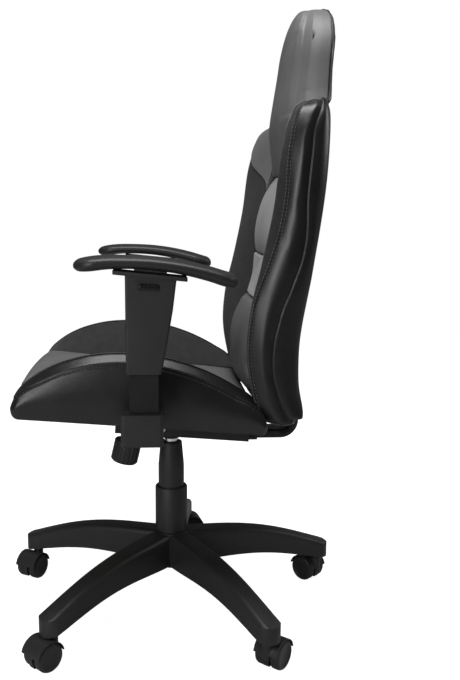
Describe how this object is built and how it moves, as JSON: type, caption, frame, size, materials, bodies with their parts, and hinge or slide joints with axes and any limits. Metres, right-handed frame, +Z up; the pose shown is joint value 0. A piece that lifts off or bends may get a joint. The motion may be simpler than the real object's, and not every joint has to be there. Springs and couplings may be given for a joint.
{
  "type": "gaming chair",
  "caption": "Reclining bucket-seat gaming chair with height-adjustable armrests on a gas lift and a five-leg base with twin-wheel casters.",
  "frame": {"origin": "on the gas lift's axis, at floor level under the casters", "axes": "+Z up, the sitter faces -Y, +X is the sitter's left"},
  "size_m": [0.7223, 0.7072, 1.2208],
  "materials": {
    "black_nylon": "moulded nylon, satin grain",
    "black_cover": "moulded cover, fine grain",
    "wheel_nylon": "hard nylon",
    "black_steel": "black powder coat",
    "zinc_steel": "zinc-plated steel",
    "chrome_rod": "ground and chromed",
    "spring_steel": "oiled spring wire",
    "button_plastic": "polished plastic",
    "arm_pad_skin": "soft integral-skin polyurethane",
    "board_plywood": "plywood under the cushion",
    "black_leather": "glossy synthetic leather over foam",
    "gray_leather": "gray synthetic leather over foam",
    "light_leather": "light gray synthetic leather over foam",
    "light_mesh": "light gray perforated fabric over foam"
  },
  "bodies": {
    "base": {"base_star": "black_nylon", "column_tube": "black_steel", "column_lower_cover": "black_cover"},
    "rod": {"piston_rod": "chrome_rod"},
    "lift": {"gas_cylinder": "chrome_rod", "column_upper_cover": "black_cover", "mechanism_housing": "black_steel", "tilt_pivot_pin": "zinc_steel", "tension_spring": "spring_steel"},
    "lever": {"lift_lever": "black_nylon"},
    "seat": {"seat_plate": "black_steel", "tension_bolt": "zinc_steel", "seat_board": "board_plywood", "seat_center_pad": "gray_leather", "seat_bolster_left": "black_leather", "seat_bolster_right": "black_leather", "frame_bolts": "zinc_steel", "back_bracket": "black_steel", "arm_bracket_left": "black_steel", "arm_bracket_right": "black_steel", "arm_socket_left": "black_cover", "arm_socket_right": "black_cover", "recline_pin": "zinc_steel"},
    "knob": {"tension_knob": "black_nylon"},
    "back": {"back_frame": "black_steel", "lumbar_pad": "gray_leather", "lumbar_band": "light_mesh", "upper_back_pad": "light_leather", "headrest_pad": "gray_leather", "back_rear_panel": "black_leather", "back_bolster_left": "black_leather", "back_bolster_right": "black_leather"},
    "arm_left": {"arm_sleeve_left": "black_cover", "arm_pad_plate_left": "black_cover", "arm_pad_left": "arm_pad_skin"},
    "button_left": {"arm_button_left": "button_plastic"},
    "arm_right": {"arm_sleeve_right": "black_cover", "arm_pad_plate_right": "black_cover", "arm_pad_right": "arm_pad_skin"},
    "button_right": {"arm_button_right": "button_plastic"},
    "caster_1": {"caster_1_hood": "black_nylon", "caster_1_stem_and_axle": "zinc_steel"},
    "caster_1_wheel_left": {"caster_1_wheel_left": "wheel_nylon"},
    "caster_1_wheel_right": {"caster_1_wheel_right": "wheel_nylon"},
    "caster_2": {"caster_2_hood": "black_nylon", "caster_2_stem_and_axle": "zinc_steel"},
    "caster_2_wheel_left": {"caster_2_wheel_left": "wheel_nylon"},
    "caster_2_wheel_right": {"caster_2_wheel_right": "wheel_nylon"},
    "caster_3": {"caster_3_hood": "black_nylon", "caster_3_stem_and_axle": "zinc_steel"},
    "caster_3_wheel_left": {"caster_3_wheel_left": "wheel_nylon"},
    "caster_3_wheel_right": {"caster_3_wheel_right": "wheel_nylon"},
    "caster_4": {"caster_4_hood": "black_nylon", "caster_4_stem_and_axle": "zinc_steel"},
    "caster_4_wheel_left": {"caster_4_wheel_left": "wheel_nylon"},
    "caster_4_wheel_right": {"caster_4_wheel_right": "wheel_nylon"},
    "caster_5": {"caster_5_hood": "black_nylon", "caster_5_stem_and_axle": "zinc_steel"},
    "caster_5_wheel_left": {"caster_5_wheel_left": "wheel_nylon"},
    "caster_5_wheel_right": {"caster_5_wheel_right": "wheel_nylon"}
  },
  "joints": [
    {"name": "seat_swivel", "type": "hinge", "parent": "base", "child": "rod", "pos_m": [0, 0, 0.086], "axis": [0, 0, 1], "continuous": true},
    {"name": "gas_lift", "type": "slide", "parent": "rod", "child": "lift", "axis": [0, 0, 1], "range_m": [-0.07, 0]},
    {"name": "lever_pull", "type": "hinge", "parent": "lift", "child": "lever", "pos_m": [-0.045, 0, 0.404], "axis": [0, 1, 0], "range_deg": [0, 5], "stiffness_Nm_per_rad": 3, "springref_deg": -17.19},
    {"name": "seat_tilt", "type": "hinge", "parent": "lift", "child": "seat", "pos_m": [0, -0.022, 0.4], "axis": [-1, 0, 0], "range_deg": [0, 10], "stiffness_Nm_per_rad": 180, "springref_deg": -14.32, "deforming": ["tension_spring"]},
    {"name": "tension_turn", "type": "hinge", "parent": "seat", "child": "knob", "pos_m": [0, -0.1005, 0.308], "axis": [0, 0.2317, 0.9728], "range_deg": [-720, 720]},
    {"name": "recline", "type": "hinge", "parent": "seat", "child": "back", "pos_m": [0, 0.231, 0.48], "axis": [-1, 0, 0], "range_deg": [0, 17.6]},
    {"name": "arm_height_left", "type": "slide", "parent": "seat", "child": "arm_left", "axis": [0, 0, 1], "range_m": [-0.055, 0]},
    {"name": "button_press_left", "type": "slide", "parent": "arm_left", "child": "button_left", "axis": [-1, 0, 0], "range_m": [0, 0.0025], "stiffness_N_per_m": 900, "springref_m": -0.001},
    {"name": "arm_height_right", "type": "slide", "parent": "seat", "child": "arm_right", "axis": [0, 0, 1], "range_m": [-0.055, 0]},
    {"name": "button_press_right", "type": "slide", "parent": "arm_right", "child": "button_right", "axis": [1, 0, 0], "range_m": [0, 0.0025], "stiffness_N_per_m": 900, "springref_m": -0.001},
    {"name": "caster_1_swivel", "type": "hinge", "parent": "base", "child": "caster_1", "pos_m": [0.29186, 0.16647, 0.06], "axis": [0, 0, 1], "continuous": true},
    {"name": "caster_1_roll_left", "type": "hinge", "parent": "caster_1", "child": "caster_1_wheel_left", "pos_m": [0.27501, 0.18062, 0.0275], "axis": [-0.6428, -0.766, 0], "continuous": true},
    {"name": "caster_1_roll_right", "type": "hinge", "parent": "caster_1", "child": "caster_1_wheel_right", "pos_m": [0.27501, 0.18062, 0.0275], "axis": [-0.6428, -0.766, 0], "continuous": true},
    {"name": "caster_2_swivel", "type": "hinge", "parent": "base", "child": "caster_2", "pos_m": [-0.06814, 0.32902, 0.06], "axis": [0, 0, 1], "continuous": true},
    {"name": "caster_2_roll_left", "type": "hinge", "parent": "caster_2", "child": "caster_2_wheel_left", "pos_m": [-0.08499, 0.31488, 0.0275], "axis": [0.6428, -0.766, 0], "continuous": true},
    {"name": "caster_2_roll_right", "type": "hinge", "parent": "caster_2", "child": "caster_2_wheel_right", "pos_m": [-0.08499, 0.31488, 0.0275], "axis": [0.6428, -0.766, 0], "continuous": true},
    {"name": "caster_3_swivel", "type": "hinge", "parent": "base", "child": "caster_3", "pos_m": [-0.33397, 0.03687, 0.06], "axis": [0, 0, 1], "continuous": true},
    {"name": "caster_3_roll_left", "type": "hinge", "parent": "caster_3", "child": "caster_3_wheel_left", "pos_m": [-0.33779, 0.05854, 0.0275], "axis": [-0.9848, -0.1736, 0], "continuous": true},
    {"name": "caster_3_roll_right", "type": "hinge", "parent": "caster_3", "child": "caster_3_wheel_right", "pos_m": [-0.33779, 0.05854, 0.0275], "axis": [-0.9848, -0.1736, 0], "continuous": true},
    {"name": "caster_4_swivel", "type": "hinge", "parent": "base", "child": "caster_4", "pos_m": [-0.13827, -0.30623, 0.06], "axis": [0, 0, 1], "continuous": true},
    {"name": "caster_4_roll_left", "type": "hinge", "parent": "caster_4", "child": "caster_4_wheel_left", "pos_m": [-0.11922, -0.31723, 0.0275], "axis": [0.5, 0.866, 0], "continuous": true},
    {"name": "caster_4_roll_right", "type": "hinge", "parent": "caster_4", "child": "caster_4_wheel_right", "pos_m": [-0.11922, -0.31723, 0.0275], "axis": [0.5, 0.866, 0], "continuous": true},
    {"name": "caster_5_swivel", "type": "hinge", "parent": "base", "child": "caster_5", "pos_m": [0.24852, -0.22613, 0.06], "axis": [0, 0, 1], "continuous": true},
    {"name": "caster_5_roll_left", "type": "hinge", "parent": "caster_5", "child": "caster_5_wheel_left", "pos_m": [0.26407, -0.24169, 0.0275], "axis": [0.7071, 0.7071, 0], "continuous": true},
    {"name": "caster_5_roll_right", "type": "hinge", "parent": "caster_5", "child": "caster_5_wheel_right", "pos_m": [0.26407, -0.24169, 0.0275], "axis": [0.7071, 0.7071, 0], "continuous": true}
  ]
}
